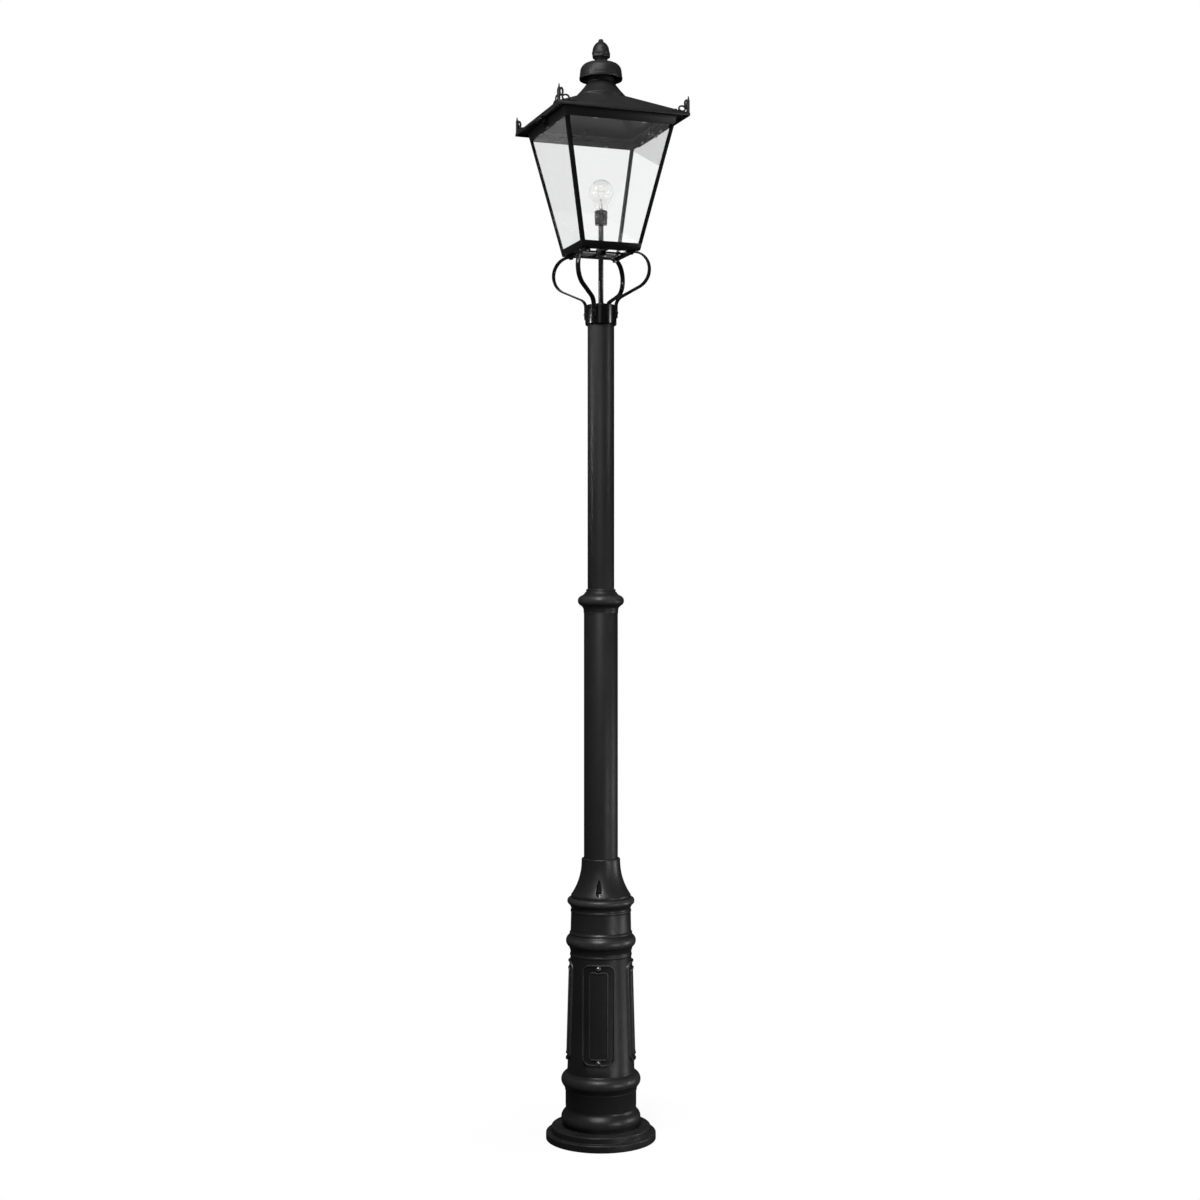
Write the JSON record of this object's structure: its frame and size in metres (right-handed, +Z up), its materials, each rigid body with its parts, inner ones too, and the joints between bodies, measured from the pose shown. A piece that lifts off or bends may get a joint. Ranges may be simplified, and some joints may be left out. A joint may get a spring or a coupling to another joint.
{
  "type": "street lamp post",
  "caption": "Cast pedestal with service door, two-diameter steel column and a four-sided glazed lantern with hinged roof, domed cowl and acorn finial on curved frog legs.",
  "frame": {"origin": "ground level under the column's axis, at the bottom centre of the foot flange", "axes": "+Z up the column; the access door faces -Y; the lantern is turned 24.5 degrees about Z"},
  "size_m": [0.445, 0.445, 2.702],
  "materials": {
    "cast_black": "satin black powder coat over a cast surface, lightly grained",
    "tube_black": "satin black powder coat, finely textured",
    "gloss_black": "semi-gloss black paint",
    "security_steel": "plain stainless",
    "zinc_steel": "zinc plated, partly painted over in black",
    "brass": "plain brass",
    "bulb_metal": "rolled thread, plain",
    "seal_rubber": "matte",
    "cable_sheath": "matte sheath",
    "board": "sealed ply",
    "box_plastic": "grey moulding",
    "holder_black": "black moulding",
    "pane_glass": "clear sheet glass",
    "bulb_glass": "clear blown glass"
  },
  "bodies": {
    "post": {"base_plate": "cast_black", "pedestal": "cast_black", "neck_casting": "cast_black", "column_collar": "cast_black", "lower_tube": "tube_black", "upper_tube": "tube_black", "lantern_top_frame": "tube_black", "frog_clamp": "gloss_black", "frog_leg_a": "gloss_black", "frog_leg_b": "gloss_black", "frog_leg_c": "gloss_black", "frog_leg_d": "gloss_black", "stem_tube": "gloss_black", "floor_spider": "gloss_black", "lantern_bottom_frame": "gloss_black", "corner_bars": "gloss_black", "hinge_leaf_lower": "gloss_black", "neck_bolts": "security_steel", "pedestal_bolts": "zinc_steel", "tube_grub_screws": "zinc_steel", "frog_foot_screws": "zinc_steel", "frog_top_bolts": "zinc_steel", "stem_lock_nuts": "zinc_steel", "board_spacers": "zinc_steel", "hinge_pin": "zinc_steel", "glazing_clips": "zinc_steel", "joint_packers": "zinc_steel", "earth_stud": "brass", "door_seal": "seal_rubber", "neck_gasket": "seal_rubber", "lamp_cable": "cable_sheath", "backboard": "board", "terminal_box": "box_plastic", "terminal_box_lid": "box_plastic", "cable_glands": "box_plastic", "lampholder_body": "holder_black", "lampholder_yoke": "holder_black", "glass_front": "pane_glass", "glass_right": "pane_glass", "glass_back": "pane_glass", "glass_left": "pane_glass"},
    "door": {"access_door": "cast_black"},
    "door_screw_top": {"door_screw_upper": "security_steel"},
    "door_screw_bottom": {"door_screw_lower": "security_steel"},
    "fuse": {"fuse_carrier": "box_plastic"},
    "roof": {"roof_shell": "tube_black", "roof_soffit": "tube_black", "roof_skirt": "tube_black", "cowl": "tube_black", "cowl_spacers": "tube_black", "finial": "tube_black", "corner_ornament_a": "tube_black", "corner_ornament_b": "tube_black", "corner_ornament_c": "tube_black", "corner_ornament_d": "tube_black", "hinge_leaf_upper": "gloss_black"},
    "catch": {"catch_screw": "zinc_steel"},
    "bulb": {"bulb_glass": "bulb_glass", "bulb_cap": "bulb_metal", "bulb_mount": "bulb_glass"}
  },
  "joints": [
    {"name": "door_pull", "type": "slide", "parent": "post", "child": "door", "axis": [0, -1, 0], "range_m": [0, 0.08]},
    {"name": "door_screw_top_turn", "type": "hinge", "parent": "door", "child": "door_screw_top", "pos_m": [0, -0.08, 0.4295], "axis": [0, -1, 0], "continuous": true},
    {"name": "door_screw_bottom_turn", "type": "hinge", "parent": "door", "child": "door_screw_bottom", "pos_m": [0, -0.085, 0.2025], "axis": [0, -1, 0], "continuous": true},
    {"name": "fuse_pull", "type": "slide", "parent": "post", "child": "fuse", "axis": [0, -1, 0], "range_m": [0, 0.03]},
    {"name": "roof_hinge", "type": "hinge", "parent": "post", "child": "roof", "pos_m": [-0.13422, -0.06117, 2.4893], "axis": [0.4147, -0.91, 0], "range_deg": [0, 100]},
    {"name": "catch_turn", "type": "hinge", "parent": "post", "child": "catch", "pos_m": [0.13422, 0.06117, 2.48], "axis": [0.91, 0.4147, 0], "continuous": true},
    {"name": "bulb_turn", "type": "hinge", "parent": "post", "child": "bulb", "pos_m": [0, 0, 2.3], "axis": [0, 0, 1], "continuous": true}
  ]
}
